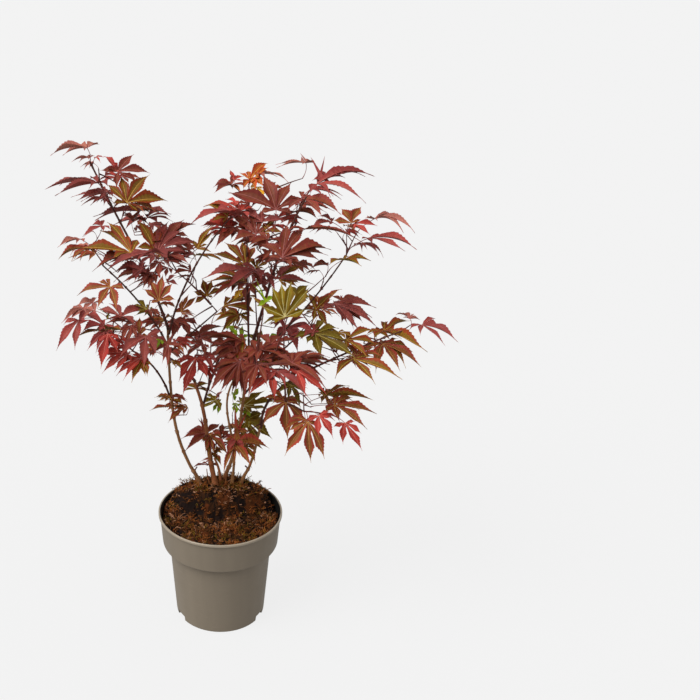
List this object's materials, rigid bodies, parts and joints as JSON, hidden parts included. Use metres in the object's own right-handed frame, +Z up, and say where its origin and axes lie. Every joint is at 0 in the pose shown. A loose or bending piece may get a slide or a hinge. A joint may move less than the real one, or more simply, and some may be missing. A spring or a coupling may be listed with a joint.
{
  "type": "potted japanese maple",
  "caption": "Young red-leaved japanese maple shrub, several slim stems from one root, in a round tapered nursery pot with a deep collar.",
  "frame": {"origin": "centre of the pot's flat underside, on the surface that it stands on", "axes": "+Z up, from the pot to the top of the crown; the plant is seen from the -Y side, with +X to the right"},
  "size_m": [0.5643, 0.3879, 0.7445],
  "materials": {
    "pot_plastic": "satin moulded taupe grey plastic",
    "potting_mix": "damp coir and bark chips, rough",
    "bark": "thin smooth young bark, brown to dark red",
    "leaves_burgundy": "matte leaves",
    "leaves_bronze": "matte leaves",
    "leaves_crimson": "matte leaves",
    "leaves_olive": "matte leaves",
    "leaves_rose": "matte leaves"
  },
  "bodies": {
    "root": {"pot": "pot_plastic", "potting_mix": "potting_mix", "trunk_left": "bark", "bough_left_top": "bark", "bough_left_inner": "bark", "bough_left_long": "bark", "bough_left_low": "bark", "bough_middle": "bark", "trunk_back": "bark", "bough_back_left": "bark", "bough_back": "bark", "trunk_centre": "bark", "bough_centre_top": "bark", "bough_top_back": "bark", "bough_right_long": "bark", "bough_back_right": "bark", "trunk_front": "bark", "trunk_right": "bark", "bough_right_middle": "bark", "bough_right_low": "bark", "foliage_left_tip": "leaves_rose", "foliage_left_crown_front": "leaves_burgundy", "foliage_left_crown": "leaves_burgundy", "foliage_left_shoulder": "leaves_burgundy", "foliage_left_hand": "leaves_bronze", "foliage_left_heart": "leaves_burgundy", "foliage_left_breast": "leaves_crimson", "foliage_left_front": "leaves_bronze", "foliage_left_sleeve": "leaves_rose", "foliage_left_low": "leaves_crimson", "foliage_left_low_back": "leaves_burgundy", "foliage_middle_twig": "leaves_bronze", "foliage_band_left": "leaves_burgundy", "foliage_band_right": "leaves_burgundy", "foliage_band_front": "leaves_crimson", "foliage_crown_back": "leaves_olive", "foliage_crown_left": "leaves_burgundy", "foliage_crown_right": "leaves_burgundy", "foliage_crown_olive": "leaves_olive", "foliage_crown_fan": "leaves_burgundy", "foliage_crown_heart": "leaves_burgundy", "foliage_lime": "leaves_olive", "foliage_crown_under": "leaves_bronze", "foliage_right_top": "leaves_burgundy", "foliage_right_arm": "leaves_burgundy", "foliage_right_hand": "leaves_rose", "foliage_right_olive": "leaves_olive", "foliage_right_back": "leaves_burgundy", "foliage_right_middle": "leaves_olive", "foliage_right_wide": "leaves_bronze", "foliage_far_right": "leaves_bronze", "foliage_right_low": "leaves_bronze", "foliage_hanging": "leaves_bronze", "foliage_low_bronze": "leaves_bronze", "foliage_low_centre": "leaves_olive", "foliage_low_back": "leaves_olive", "foliage_left_ankle": "leaves_bronze", "foliage_whorl": "leaves_burgundy", "foliage_whorl_right": "leaves_bronze"}
  },
  "joints": []
}
